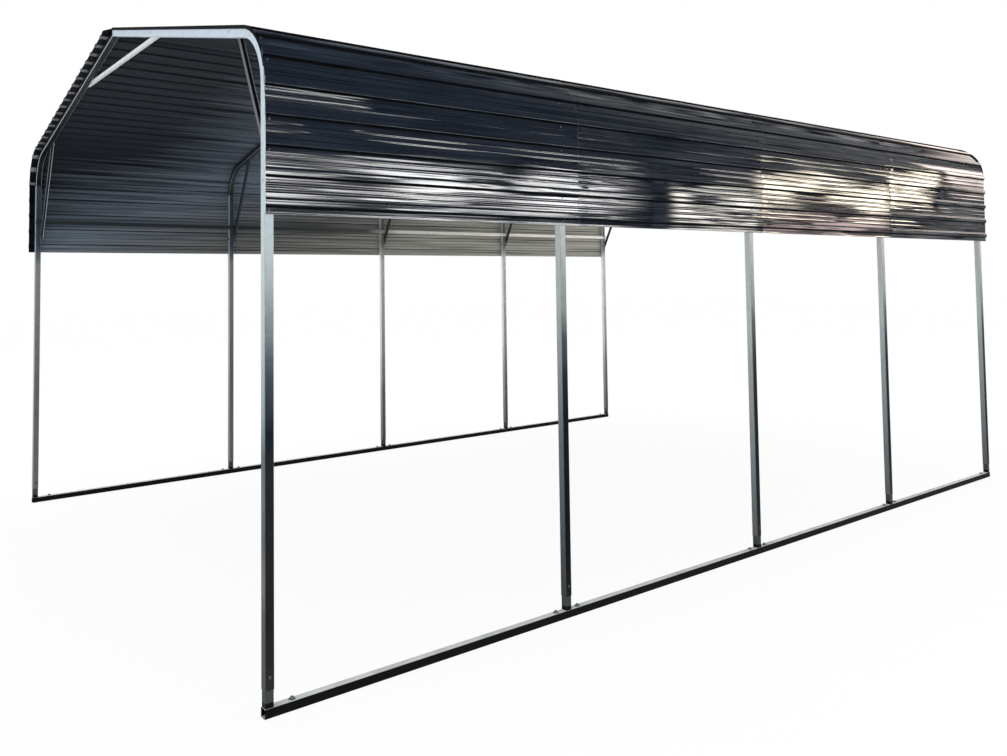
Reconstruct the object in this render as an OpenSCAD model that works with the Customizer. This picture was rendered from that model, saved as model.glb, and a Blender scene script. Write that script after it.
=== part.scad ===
// Open steel carport: tube frames slipped over stubs on two ground rails, braced at
// the eaves and the ridge, and covered by ribbed sheets that turn down over rounded eaves.
// Millimetres. X runs across, Y along, Z up; the origin is on the ground, at the middle.

/* [Layout] */
// Distance across, between the middles of the two rows of legs
span = 4310; // [3200:10:5200]
// Distance along, from one frame to the next
bay = 1524; // [1100:2:1800]
// Height of the leg tops, where the eave bend starts
leg_top = 2413; // [2250:1:2800]
// Slope of the roof, in degrees
roof_slope = 13; // [8:0.5:18]

/* [Frame tube] */
// Outer width of the square frame tube
tube = 38; // [34:0.5:50]
// Wall of the square frame tube
tube_wall = 2; // [1.5:0.1:3]
// Outer corner radius of the square frame tube
tube_corner = 4; // [3.2:0.1:6]
// Outer radius of the bend at the eaves
bend_radius = 270; // [200:5:320]
// Gap at the joint between the bent piece and the rafter
joint_gap = 0.3; // [0.1:0.1:0.9]

/* [Feet] */
// Length of bare stub between rail and leg
stub_show = 66; // [20:1:120]
// Length of stub inside the leg
stub_grip = 100; // [40:1:200]
// Wall of the stubs
stub_wall = 2; // [1.5:0.1:4]
// Diameter of the anchor holes through the rails
anchor_hole = 13; // [8:0.5:20]
// Distance from a middle frame to its anchor holes
anchor_step = 70; // [45:1:200]
// Distance from an end frame to its anchor hole
anchor_end = 98; // [45:1:200]

/* [Braces] */
// Width of the brace tube
brace_w = 20; // [16:0.5:30]
// Depth of the brace tube
brace_d = 18; // [14:0.5:26]
// Wall of the brace tube
brace_wall = 1.5; // [1.2:0.1:2.5]
// Height of the eave brace's lower end on the leg
knee_low = 2030; // [1950:1:2120]
// Distance across, from leg to eave brace's upper end
knee_run = 345; // [300:1:420]
// Half length of the tie under the ridge
tie_half = 730; // [500:5:1000]
// Length of each brace past its bolt
brace_end = 22; // [18:1:40]
// Diameter of the bolt holes through the brace ends and the frame
brace_hole = 8; // [5:0.5:10]
// Distance that the trimmed brace ends keep from the sheets
brace_clear = 2; // [0.5:0.1:5]

/* [Side girts] */
// Distance from the eave brace up to the girt's lower edge
girt_gap = 4; // [2:1:60]
// Height of the girt's section
girt_w = 30; // [20:0.5:40]
// Depth of the girt's section
girt_d = 12; // [8:0.5:19]
// Wall of the girt
girt_wall = 1.5; // [1.2:0.1:2.5]

/* [Sheets] */
// Height of the sheets' lower edge
sheet_low = 1900; // [1750:1:1950]
// Thickness of the sheets
sheet_t = 1; // [0.8:0.1:1.5]
// Ribs on each half of the roof, eave and side included
rib_count = 24; // [18:1:28]
// Height of a rib
rib_h = 10; // [6:0.5:20]
// Width of a rib at its foot
rib_foot = 36; // [30:1:50]
// Width of a rib at its crest
rib_crest = 24; // [14:1:28]
// Distance from the sheets' lower edge to the middle of the first rib
rib_first = 47; // [35:1:70]
// Distance from a frame to the end of the sheet that laps past it
seam_past = 110; // [40:1:250]
// Length of sheet that stands past the front frame on the left of the roof
sheet_past = 40; // [0:1:80]
// How much tighter the sheet's bend is than the tube's, so that it rides clear
bend_ease = 8; // [4:0.5:20]

/* [Hidden] */
$fn = 48;
bays = 4;
length = bays * bay;
outer_x = span / 2 + tube / 2;
turn = 90 - roof_slope;
eave_z = leg_top + bend_radius * tan(turn / 2);
ridge_z = eave_z + outer_x * tan(roof_slope);
rafter_dir = [-cos(roof_slope), sin(roof_slope)];
rafter_up = [sin(roof_slope), cos(roof_slope)];
bend_at = [outer_x - bend_radius, leg_top];
bend_end = bend_at + bend_radius * rafter_up;
stub = tube - 2 * tube_wall;
stub_top = tube + stub_show + stub_grip;
leg_low = tube + stub_show;
brace_y = tube / 2 + brace_d / 2;
knee_foot = [span / 2, knee_low];
knee_top = rafter_mid(span / 2 - knee_run);
tie_end = rafter_mid(tie_half);
knee_lean = atan2(knee_top[1] - knee_low, knee_run);
girt_x = span / 2 - tube / 2 - girt_d;
girt_low = knee_low + girt_gap
  + tan(knee_lean) * (tube / 2 + girt_d + brace_w / 2 / sin(knee_lean));
sheet_r = bend_radius - bend_ease;
sheet_bend_z = eave_z - sheet_r * tan(turn / 2);
sheet_bend_at = [outer_x - sheet_r, sheet_bend_z];
sheet_bend_end = sheet_bend_at + sheet_r * rafter_up;
run_side = sheet_bend_z - sheet_low;
run_eave = run_side + sheet_r * turn * PI / 180;
run_ridge = run_eave + sheet_bend_end[0] / cos(roof_slope);
rib_pitch = (run_ridge - rib_first) / rib_count;
steel = [0.78, 0.81, 0.83];
paint = [0.13, 0.15, 0.18];
overlap = 1;

// Place of frame k along the length, the first at the front
function frame_y(k) = (k - 1) * bay - length / 2;

// Middle of the rafter at a distance x from the ridge plane
function rafter_mid(x) = [x, ridge_z - x * tan(roof_slope) - tube / 2 / cos(roof_slope)];

// Point of the sheet's seat, a run s up from its lower edge: side, eave bend, roof
function eave_angle(s) = turn * (s - run_side) / (run_eave - run_side);
function seat(s) =
  s <= run_side ? [outer_x, sheet_low + s] :
  s <= run_eave ? sheet_bend_at + sheet_r * [cos(eave_angle(s)), sin(eave_angle(s))] :
  sheet_bend_end + (s - run_eave) * rafter_dir;
function seat_out(s) =
  s <= run_side ? [1, 0] :
  s <= run_eave ? [cos(eave_angle(s)), sin(eave_angle(s))] :
  rafter_up;

// Rib height at a run s: a crest, two sloping flanks and a flat between ribs
function rib_away(s) = abs(s - rib_first - rib_pitch * round((s - rib_first) / rib_pitch));
function rib_rise(s) =
  let (f = (rib_foot / 2 - rib_away(s)) / (rib_foot / 2 - rib_crest / 2))
  rib_h * min(1, max(0, f));

// Runs where the sheet's outline turns, from a to b, with the flats split into parts
function rib_turns(i, parts) =
  let (c = rib_first + i * rib_pitch, flat = rib_pitch - rib_foot)
  concat([c - rib_foot / 2, c - rib_crest / 2, c + rib_crest / 2],
         [for (j = [0:parts - 1]) c + rib_foot / 2 + flat * j / parts]);
function runs(a, b, parts) =
  concat([a], [for (i = [0:rib_count]) for (s = rib_turns(i, parts)) if (s > a + 0.5 && s < b - 0.5) s], [b]);

// Outline of a sheet through its runs: the outer face out, the inner face back
function sheet_edge(list, rise) = [for (s = list) seat(s) + seat_out(s) * (rib_rise(s) + rise)];
function ridge_tip(rise) = [0, ridge_z + (rib_h + rise) / cos(roof_slope)];
function backwards(list) = [for (i = [len(list) - 1:-1:0]) list[i]];
function but_last(list) = [for (i = [0:len(list) - 2]) list[i]];

// Solid square corner-rounded bar section, w by h
module bar_section(w, h, r) {
  square([w - 2 * r, h], center = true);
  square([w, h - 2 * r], center = true);
  for (x = [-1, 1], y = [-1, 1])
    translate([x * (w / 2 - r), y * (h / 2 - r)]) circle(r);
}

// Square tube section with rounded corners
module tube_section() {
  difference() {
    bar_section(tube, tube, tube_corner);
    bar_section(stub, stub, tube_corner - tube_wall);
  }
}

// Carry an outline drawn in X and Z along Y, from a to b
module along(a, b) {
  translate([0, b, 0]) rotate([90, 0, 0]) linear_extrude(height = b - a) children();
}

// The right side is drawn, and the left side is its mirror image
module on_side(side) {
  mirror([side < 0 ? 1 : 0, 0, 0]) children();
}

module base_rail(side) {
  holes = concat([frame_y(1) + anchor_end, frame_y(bays + 1) - anchor_end],
                 [for (k = [2:bays]) for (d = [-1, 1]) frame_y(k) + d * anchor_step]);
  color(steel) on_side(side) translate([span / 2, 0, 0]) {
    difference() {
      along(-length / 2 - tube / 2, length / 2 + tube / 2)
        translate([0, tube / 2]) tube_section();
      for (y = holes) translate([0, y, -overlap])
        cylinder(h = tube + 2 * overlap, d = anchor_hole);
    }
    for (k = [1:bays + 1]) translate([0, frame_y(k), tube - tube_wall / 2])
      linear_extrude(height = stub_top - tube + tube_wall / 2) difference() {
        bar_section(stub, stub, tube_corner - tube_wall);
        square(stub - 2 * stub_wall, center = true);
      }
  }
}

// Hole for a brace bolt, along Y through depth, at a point of the frame's plane
module bolt_hole(at, depth) {
  translate([at[0], 0, at[1]]) rotate([90, 0, 0])
    cylinder(h = depth + 2 * overlap, d = brace_hole, center = true);
}

module leg(side, k) {
  color(steel) on_side(side) translate([0, frame_y(k), 0]) difference() {
    translate([span / 2, 0, leg_low]) linear_extrude(height = leg_top - leg_low) tube_section();
    bolt_hole(knee_foot, tube);
  }
}

// Bent piece from a leg top over the eave, and a rafter straight on to the mitred ridge
module bow(side, k) {
  rise = bend_radius - tube / 2;
  rafter = bend_end[0] / cos(roof_slope) + tube * tan(roof_slope);
  color(steel) on_side(side) translate([0, frame_y(k), 0]) {
    translate([bend_at[0], 0, bend_at[1]]) rotate([90, 0, 0])
      rotate_extrude(angle = turn, $fn = 96) translate([rise, 0]) tube_section();
    difference() {
      intersection() {
        translate([bend_at[0], 0, bend_at[1]]) rotate([0, -turn, 0]) translate([rise, 0, joint_gap])
          linear_extrude(height = rafter) tube_section();
        translate([0, -tube, 0]) cube([span, 2 * tube, 2 * ridge_z]);
      }
      bolt_hole(knee_top, tube);
      bolt_hole(tie_end, tube);
    }
  }
}

// Straight brace in the plane of a frame, bolted at a and b
module brace(a, b) {
  run = norm(b - a);
  lean = atan2(b[1] - a[1], b[0] - a[0]);
  translate([a[0], 0, a[1]]) rotate([0, -lean, 0]) translate([-brace_end, 0, 0])
    difference() {
      translate([0, -brace_d / 2, -brace_w / 2]) cube([run + 2 * brace_end, brace_d, brace_w]);
      translate([-overlap, brace_wall - brace_d / 2, brace_wall - brace_w / 2])
        cube([run + 2 * brace_end + 2 * overlap, brace_d - 2 * brace_wall, brace_w - 2 * brace_wall]);
      for (x = [brace_end, run + brace_end]) bolt_hole([x, 0], brace_d);
    }
}

// Space inside the frame's outline, which the brace ends are trimmed to
module frame_inside() {
  x = outer_x - brace_clear;
  top = ridge_z - brace_clear / cos(roof_slope);
  side_z = top - x * tan(roof_slope);
  rotate([90, 0, 0]) linear_extrude(height = 2 * brace_d, center = true)
    polygon([[-x, 0], [x, 0], [x, side_z], [0, top], [-x, side_z]]);
}

module braces(k) {
  color(steel) translate([0, frame_y(k) + brace_y, 0]) intersection() {
    union() {
      for (side = [-1, 1]) on_side(side) brace(knee_foot, knee_top);
      brace([-tie_end[0], tie_end[1]], tie_end);
    }
    frame_inside();
  }
}

// Rectangular tube screwed along the inner faces of a row of legs
module girt(side) {
  color(steel) on_side(side)
    translate([girt_x, -length / 2 - tube / 2, girt_low])
      difference() {
        cube([girt_d, length + tube, girt_w]);
        translate([girt_wall, -overlap, girt_wall])
          cube([girt_d - 2 * girt_wall, length + tube + 2 * overlap, girt_w - 2 * girt_wall]);
      }
}

// Ends of the sheet over bay k: the rear end laps past its frame, except at the left rear corner
function sheet_from(side, k) =
  k > 1 ? frame_y(k) + seam_past : frame_y(1) - tube / 2 - (side < 0 ? sheet_past : 0);
function sheet_to(side, k) =
  k < bays || side > 0 ? frame_y(k + 1) + seam_past : frame_y(bays + 1) + tube / 2;

module eave_sheet(side, k) {
  list = concat(but_last(runs(0, run_side, 1)), runs(run_side, run_eave, 4));
  color(paint) on_side(side) along(sheet_from(side, k), sheet_to(side, k))
    polygon(concat(sheet_edge(list, sheet_t), backwards(sheet_edge(list, 0))));
}

module roof_sheet(side, k) {
  list = but_last(runs(run_eave, run_ridge, 1));
  color(paint) on_side(side) along(sheet_from(side, k), sheet_to(side, k))
    polygon(concat(sheet_edge(list, sheet_t), [ridge_tip(sheet_t), ridge_tip(0)],
                   backwards(sheet_edge(list, 0))));
}

base_rail(-1);  // base_rail_left
base_rail(1);  // base_rail_right
for (k = [1:bays + 1]) {
  leg(-1, k);
  leg(1, k);
  bow(-1, k);
  bow(1, k);
  braces(k);
}
girt(-1);  // girt_left
girt(1);  // girt_right
for (k = [1:bays]) {
  eave_sheet(-1, k);
  eave_sheet(1, k);
  roof_sheet(-1, k);
  roof_sheet(1, k);
}
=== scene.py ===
# %% [markdown]
# # A steel carport, dressed in Blender
# The carport is a row of five bent tube frames on two ground rails, with ribbed steel sheets
# screwed over the sides, the rounded eaves and the roof. The frame comes ready made from the
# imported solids. This lesson gives it its finishes, and makes the sheets again as thin pressed
# skins, because glossy paint on pressed steel lives from its small folds.

import bpy
import numpy as np
from mathutils import Matrix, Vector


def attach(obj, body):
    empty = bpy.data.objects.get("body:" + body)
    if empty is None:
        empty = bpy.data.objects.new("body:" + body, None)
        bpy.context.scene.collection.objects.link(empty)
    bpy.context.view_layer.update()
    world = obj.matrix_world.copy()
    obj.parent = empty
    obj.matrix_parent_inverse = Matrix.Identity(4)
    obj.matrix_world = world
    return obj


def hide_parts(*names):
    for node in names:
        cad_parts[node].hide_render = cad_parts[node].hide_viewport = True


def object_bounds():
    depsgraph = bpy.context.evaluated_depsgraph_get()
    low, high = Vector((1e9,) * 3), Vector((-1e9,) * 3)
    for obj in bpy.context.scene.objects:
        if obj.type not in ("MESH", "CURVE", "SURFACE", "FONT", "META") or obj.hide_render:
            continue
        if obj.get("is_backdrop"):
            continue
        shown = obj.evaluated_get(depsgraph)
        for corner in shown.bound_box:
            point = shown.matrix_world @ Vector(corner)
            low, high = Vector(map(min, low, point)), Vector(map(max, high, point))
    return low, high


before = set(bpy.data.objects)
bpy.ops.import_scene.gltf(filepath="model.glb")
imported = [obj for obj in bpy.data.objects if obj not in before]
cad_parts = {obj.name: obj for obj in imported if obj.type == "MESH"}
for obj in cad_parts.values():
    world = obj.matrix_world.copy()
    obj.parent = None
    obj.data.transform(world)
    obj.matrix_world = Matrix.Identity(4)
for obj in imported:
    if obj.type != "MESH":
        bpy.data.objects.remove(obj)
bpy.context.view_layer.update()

# %% [markdown]
# ## Sizes
# The pieces below sit on the frame, so they repeat its sizes, in millimetres as a fitter would
# read them. They could be measured on the solids, but a few named sizes are easier to follow.

# %% Sizes of the frame
MM = 0.001
BAY, BAYS = 1524.0, 4
FRAME_Y = BAY * (np.arange(BAYS + 1) - BAYS / 2)
LEG_X, TUBE = 2155.0, 38.0
OUTER_X = LEG_X + TUBE / 2
LEG_TOP, BEND_R = 2413.0, 270.0
SLOPE = np.radians(13.0)
TURN = np.pi / 2 - SLOPE
EAVE_Z = LEG_TOP + BEND_R * np.tan(TURN / 2)
RIDGE_Z = EAVE_Z + OUTER_X * np.tan(SLOPE)
print("frames at", FRAME_Y.tolist(), "eave at", round(EAVE_Z), "ridge at", round(RIDGE_Z))

# %% [markdown]
# The sheet starts 1.9 m up the leg, runs up the side, round the eave bend and up the roof slope
# to the ridge. A point of it could be given by its height, but the ribs are evenly spaced along
# the steel itself. So what counts is how far along that line a point lies, called `run` below.

# %% Sizes of the sheet and of its line
SHEET_LOW, SHEET_R, SHEET_T = 1900.0, 262.0, 1.0
SEAM_PAST, FRONT_PAST = 110.0, 40.0
BEND_Z = EAVE_Z - SHEET_R * np.tan(TURN / 2)
BEND_MID = np.array([OUTER_X - SHEET_R, BEND_Z])
SLOPE_UP = np.array([np.sin(SLOPE), np.cos(SLOPE)])
SLOPE_IN = np.array([-np.cos(SLOPE), np.sin(SLOPE)])
BEND_END = BEND_MID + SHEET_R * SLOPE_UP
RUN_SIDE = BEND_Z - SHEET_LOW
RUN_EAVE = RUN_SIDE + SHEET_R * TURN
RUN_RIDGE = RUN_EAVE + BEND_END[0] / np.cos(SLOPE)
RIBS, RIB_FIRST, RIB_H, RIB_FOOT, RIB_CREST = 24, 47.0, 10.0, 36.0, 24.0
RIB_PITCH = (RUN_RIDGE - RIB_FIRST) / RIBS
print("run of the sheet:", round(RUN_RIDGE), "rib pitch:", round(RIB_PITCH, 1))

# %% [markdown]
# ## Camera
# The photograph was taken from the front right corner at about head height, by a wide lens held
# nearly level, and then cropped with more room below than above. A tilted camera would make the
# legs lean, so the lens is shifted instead, by just that crop. Place and angles come from the
# corners of the frame in the 1007 by 756 picture.

# %% Camera at the photograph's place
scene = bpy.context.scene
scene.view_settings.view_transform = "Standard"
PHOTO_W, PHOTO_H = 1007, 756
FOCAL_PX, MIDDLE_Y, SENSOR_MM = 881.8, 239.0, 36.0
YAW, PITCH, ROLL = -0.9013, -0.0472, 0.0140
CAMERA_AT = (5.395, -4.446, 1.632)
ahead = np.array([np.sin(YAW) * np.cos(PITCH), np.cos(YAW) * np.cos(PITCH), -np.sin(PITCH)])
level = np.array([np.cos(YAW), -np.sin(YAW), 0.0])
down = np.cross(ahead, level)
right = np.cos(ROLL) * level + np.sin(ROLL) * down
below = -np.sin(ROLL) * level + np.cos(ROLL) * down

lens = bpy.data.cameras.new("photo_camera")
lens.sensor_fit = "HORIZONTAL"
lens.sensor_width = SENSOR_MM
lens.lens = FOCAL_PX * SENSOR_MM / PHOTO_W
lens.shift_y = (MIDDLE_Y - PHOTO_H / 2) / PHOTO_W
lens.clip_end = 200.0
camera = bpy.data.objects.new("photo_camera", lens)
turned = Matrix(np.stack([right, -below, -ahead], axis=1).tolist()).to_4x4()
camera.matrix_world = Matrix.Translation(CAMERA_AT) @ turned
scene.collection.objects.link(camera)
scene.camera = camera
print("lens:", round(lens.lens, 2), "mm, shift:", round(lens.shift_y, 3))

# %% [markdown]
# ## One function for nodes
# A material is a small chart of nodes. One function adds any node, with its settings, and takes
# for each input a value, a hex colour, another node or one of its outputs. Colours are written
# as on screen, in sRGB hex, and turned to the linear values that light is reckoned in.


# %% Colours and nodes
def linear(code):
    """sRGB hex to linear RGBA: a straight part near black, then the power 2.4."""
    s = np.array([int(code[i : i + 2], 16) for i in (1, 3, 5)]) / 255
    rgb = np.where(s <= 0.04045, s / 12.92, ((s + 0.055) / 1.055) ** 2.4)
    return (*rgb.tolist(), 1.0)


def add(tree, kind, inputs=None, stops=None, **settings):
    """Adds one node and links its inputs. A node as input means its first output."""
    made = tree.nodes.new("ShaderNode" + kind)
    for name, value in settings.items():
        setattr(made, name, value)
    if stops:
        ramp = made.color_ramp.elements
        while len(ramp) < len(stops):
            ramp.new(0.5)
        for element, (place, code) in zip(ramp, stops):
            element.position = place
            element.color = linear(code)
    for name, value in (inputs or {}).items():
        if isinstance(value, bpy.types.Node):
            value = value.outputs[0]
        if isinstance(value, bpy.types.NodeSocket):
            tree.links.new(value, made.inputs[name])
        else:
            made.inputs[name].default_value = linear(value) if isinstance(value, str) else value
    return made


def finish_of(name):
    """A new empty material: the material, its tree and its coordinates."""
    made = bpy.data.materials.new(name)
    made.use_nodes = True
    made.node_tree.nodes.clear()
    return made, made.node_tree, add(made.node_tree, "TexCoord")


print("half grey on screen is", round(linear("#808080")[0], 3), "in light")

# %% [markdown]
# ## One function for meshes
# A surface is a grid of points worked out by numpy as whole arrays, and its faces follow from the
# rows and columns. Modifiers could bend a flat plate instead, but a formula says exactly where
# each fold lies. Every piece stays at the origin, with its place in its mesh.


# %% Grids and meshes
def sheet_mesh(name, points, faces, smooth=True):
    """A mesh object at the origin from arrays of points and of corner numbers per face."""
    mesh = bpy.data.meshes.new(name)
    mesh.from_pydata(points.reshape(-1, 3).tolist(), [], faces.tolist())
    mesh.polygons.foreach_set("use_smooth", np.full(len(faces), smooth))
    made = bpy.data.objects.new(name, mesh)
    scene.collection.objects.link(made)
    return made


def grid_faces(rows, cols):
    """Four corner numbers for each cell of a grid of points, row by row."""
    i, j = np.meshgrid(np.arange(rows - 1), np.arange(cols - 1), indexing="ij")
    a = (i * cols + j).ravel()
    return np.stack([a, a + 1, a + cols + 1, a + cols], axis=1)


print("cells of a grid of 3 by 4 points:", len(grid_faces(3, 4)))

# %% [markdown]
# ## Light and floor
# The picture has the carport cut out on white, in even light. A picture of a sky could light it,
# but would put streaks of its own into the gloss, so the sky is plain white all round.

# %% Sky
world = bpy.data.worlds.new("studio_sky")
world.use_nodes = True
world.node_tree.nodes.clear()
white = add(world.node_tree, "Background", {"Color": "#ffffff", "Strength": 1.0})
add(world.node_tree, "OutputWorld", {"Surface": white})
scene.world = world
print("sky:", world.name)

# %% [markdown]
# A pale floor takes the faint shadow under the rails, and one large soft lamp overhead gives the
# tops of the tubes some more light. Stronger lamps could make the floor white, but would bleach
# the tubes too. So its material goes by the kind of ray: seen straight or mirrored it is nearly
# plain white, and for scattered light it is paper. Sizes of the studio are in metres.

# %% Floor and top light
FLOOR_HALF, FLOOR_LINES, FLOOR_Z = 60.0, 13, -0.001
FLOOR_WHITE = 0.92
LAMP_SIZE, LAMP_WATTS, LAMP_AT = 9.0, 350, (-1.0, 0.0, 9.0)


def straight_ray(tree):
    """1 for rays from the camera, off gloss or through glass, and 0 for scattered light."""
    path = add(tree, "LightPath")
    seen = {0: path.outputs["Is Camera Ray"], 1: path.outputs["Is Glossy Ray"]}
    seen = add(tree, "Math", seen, operation="MAXIMUM")
    return add(tree, "Math", {0: seen, 1: path.outputs["Is Transmission Ray"]}, operation="MAXIMUM")


step = np.linspace(-FLOOR_HALF, FLOOR_HALF, FLOOR_LINES)
u, v = np.meshgrid(step, step)
flat = np.stack([u, v, np.full_like(u, FLOOR_Z)], axis=-1)
floor = sheet_mesh("floor", flat, grid_faces(FLOOR_LINES, FLOOR_LINES))
# Gives the eye: even white that only a shadow greys
paper, tree, _ = finish_of("matt_white_floor_paper")
bright = add(tree, "Math", {0: straight_ray(tree), 1: FLOOR_WHITE}, operation="MULTIPLY")
shade = add(tree, "BsdfDiffuse", {"Color": "#fafafa"})
white = add(tree, "Emission", {"Color": "#ffffff", "Strength": 1.0})
add(tree, "OutputMaterial", {"Surface": add(tree, "MixShader", {0: bright, 1: shade, 2: white})})
floor.data.materials.append(paper)
floor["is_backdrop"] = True

lamp = bpy.data.lights.new("top_box", "AREA")
lamp.size = LAMP_SIZE
lamp.energy = LAMP_WATTS
top_box = bpy.data.objects.new("top_box", lamp)
top_box.location = LAMP_AT
top_box.visible_camera = top_box.visible_glossy = False
scene.collection.objects.link(top_box)
print("floor half width:", FLOOR_HALF, "m, top light:", lamp.energy, "W")

# %% [markdown]
# ## Cards for the gloss
# Dark gloss paint shows its folds only by what it mirrors. In a white room it would turn pale, so
# a studio sets dark cards beside it and overhead. Here they are an arch of slate blue: from the
# floor up beside the right wall, over the roof and down far off on the left, with a second length
# of it towards the front. Only mirrored rays see the cards, so they cast no light.

# %% Dark cards
# Corners of the arch, across and up
ARCH = [[2.5, 0.002], [8.6, 0.02], [8.6, 7.0], [8.2, 11.0], [6.5, 14.0], [3.0, 15.5]]
ARCH = np.array(ARCH + [[-12.0, 16.0], [-24.0, 13.0], [-30.0, 8.0], [-32.0, 2.8]])
OVERHEAD = ARCH[2:7]
ARCH_FRONT, ARCH_START, ARCH_END, ARCH_LINES = -40.0, -14.0, 40.0, 9


def gloss_only(made, finish):
    """Gives a card its finish and hides it from all but mirrored rays."""
    made.data.materials.append(finish)
    made.visible_camera = made.visible_diffuse = made.visible_shadow = False
    finish.cycles.emission_sampling = "NONE"
    made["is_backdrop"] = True


def dark_card(name, corners, start, end):
    """Corners given across and up, carried straight along the carport between two lengths."""
    along = np.broadcast_to(np.linspace(start, end, ARCH_LINES), (len(corners), ARCH_LINES))
    across, high = (np.broadcast_to(corners[:, [k]], along.shape) for k in (0, 1))
    return sheet_mesh(name, np.stack([across, along, high], axis=-1), grid_faces(*along.shape), False)


def streaks(tree, at, grain, low, high):
    """Long level streaks, from 0 to 1: noise stretched along Y, cut off at two levels."""
    lines = add(tree, "Mapping", {"Vector": at.outputs["Object"], "Scale": (0.1, *grain)})
    noise = add(tree, "TexNoise", {"Vector": lines, "Scale": 1.0, "Detail": 1.5})
    return add(tree, "MapRange", {"Value": noise, "From Min": low, "From Max": high})


# Gives the eye: dim blue in the near gloss, lighter grey in the far gloss, in streaks 2 m long
slate, tree, at = finish_of("slate_blue_card")
place = add(tree, "SeparateXYZ", {"Vector": at.outputs["Object"]})
far = {"Value": place.outputs["Y"], "From Min": 5.0, "From Max": 14.0, "To Min": 0.7, "To Max": 2.0}
lines = streaks(tree, at, (0.5, 9.0), 0.35, 0.7)
glow = add(tree, "Math", {0: add(tree, "MapRange", far), 1: lines}, operation="MULTIPLY")
share = add(tree, "MapRange", {"Value": place.outputs["Y"], "From Min": 0.0, "From Max": 14.0})
tint = add(tree, "ValToRGB", {"Fac": share}, stops=[(0.2, "#94aac8"), (0.8, "#bfc0c0")])
shade = add(tree, "Emission", {"Color": tint, "Strength": glow})
add(tree, "OutputMaterial", {"Surface": shade})
gloss_only(dark_card("dark_card", ARCH, ARCH_START, ARCH_END), slate)
gloss_only(dark_card("front_dark_card", OVERHEAD, ARCH_FRONT, ARCH_START), slate)
print("dark cards reach from", ARCH_FRONT, "to", ARCH_END, "m")

# %% [markdown]
# Before the dark cards stand glowing ones, which give the wall its bright streaks. Their places
# follow from the mirror law: a line from the camera's mirror image through a spot of the wall
# meets the card plane at what that spot shows. Seen from the camera, the near bay mirrors a low
# bright strip and one lone streak above it, the next bay a patch, the third and fourth cream
# patches higher up, and the far end of the sheet a rosy one. Ripples in the paint could break up
# a plain card, but so fine that they would blur it to grey, so the streaks are in the cards.

# %% Glowing cards
CARD_X, END_X = 8.0, -11.0
CARD_ROWS, CARD_COLS = 17, 33
FADE_LONG, FADE_HIGH, STREAK_EDGE = 0.12, 0.2, 0.14


def ease(x):
    """Smooth step from 0 to 1, level at both ends: 3x^2 - 2x^3."""
    x = np.clip(x, 0, 1)
    return x * x * (3 - 2 * x)


def glow_card(name, low, high, strength, tint, grain, cut, lean=0.0, far_x=CARD_X):
    """A glowing grid of level streaks, eased to nothing at its edges, its top rising by lean."""
    u, v = np.meshgrid(np.linspace(0, 1, CARD_COLS), np.linspace(0, 1, CARD_ROWS))
    x = CARD_X + u * (far_x - CARD_X)
    y = low[0] + u * (high[0] - low[0])
    z = low[1] + v * (high[1] - low[1] + lean * u)
    fade = ease(np.minimum(u, 1 - u) / FADE_LONG) * ease(np.minimum(v, 1 - v) / FADE_HIGH)
    made = sheet_mesh(name, np.stack([x, y, z], axis=-1), grid_faces(*y.shape))
    shine = made.data.attributes.new("glow", "FLOAT", "POINT")
    shine.data.foreach_set("value", (strength * fade).ravel())
    # Gives the eye: bright level streaks in the gloss, as of frosted card lit from behind
    finish, tree, at = finish_of(name + "_glow")
    shine = add(tree, "Attribute", attribute_name="glow").outputs["Fac"]
    shine = {0: shine, 1: streaks(tree, at, grain, cut, cut + STREAK_EDGE)}
    shine = add(tree, "Math", shine, operation="MULTIPLY")
    shade = add(tree, "Emission", {"Color": tint, "Strength": shine})
    add(tree, "OutputMaterial", {"Surface": shade})
    gloss_only(made, finish)


# Name, near low corner and far high corner (along, up), strength, tint, streaks to the metre, cut
WHITE, WARM, CREAM, PINK, ROSE = "#ffffff", "#fffaf0", "#fff3dc", "#ffe2e0", "#ffeee6"
glow_card("near_strip", (-2.6, 2.38), (5.6, 3.0), 15.0, WHITE, (0.45, 21.0), 0.46, lean=0.3)
glow_card("lone_streak", (-0.9, 3.70), (0.8, 3.76), 7.0, WHITE, (0.4, 4.0), 0.2)
glow_card("second_patch", (5.9, 2.42), (8.7, 3.15), 13.0, WARM, (0.7, 11.0), 0.42)
glow_card("third_patch", (8.0, 2.75), (13.0, 3.5), 14.0, CREAM, (0.45, 6.0), 0.38)
glow_card("low_third_patch", (8.2, 2.4), (12.8, 2.9), 5.0, PINK, (0.7, 12.0), 0.42)
glow_card("fourth_patch", (12.4, 3.05), (14.8, 4.0), 14.0, CREAM, (0.5, 6.0), 0.4)
glow_card("rear_patch", (14.9, 3.3), (19.5, 7.0), 8.0, ROSE, (0.4, 3.5), 0.28)
glow_card("end_patch", (25.0, 5.0), (27.0, 14.5), 2.4, ROSE, (0.4, 1.2), 0.2, far_x=END_X)
print("glowing cards:", [m.name for m in bpy.data.materials if m.name.endswith("_glow")])

# %% [markdown]
# ## Paint on the outside
# The sheets are pressed from coil steel that was enamelled charcoal at the mill. Baked enamel is
# smooth as glass, with an IOR of about 1.5. The mill's rollers leave faint lines along the sheet,
# and handling leaves shallow dents, both long and level. A clear coat could carry the gloss, but
# one dark glossy layer does the same. The map of each sheet is its own length and run in metres,
# so that lines follow the bend.


# %% Charcoal baked enamel
def per_metre(size):
    """The scale of a pattern from its real size: how often so many millimetres fit in a metre."""
    return 1 / (size * MM)


# In millimetres: roller lines, far coarser than the real ones of under 1 mm, so that they show,
# then dents from handling, clouds of tone, and the height of lines and dents
LINE_LONG, LINE_APART = 2000.0, 18.2
DENT_LONG, DENT_APART = 1430.0, 111.0
CLOUD, RELIEF = 590.0, 0.18
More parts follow.
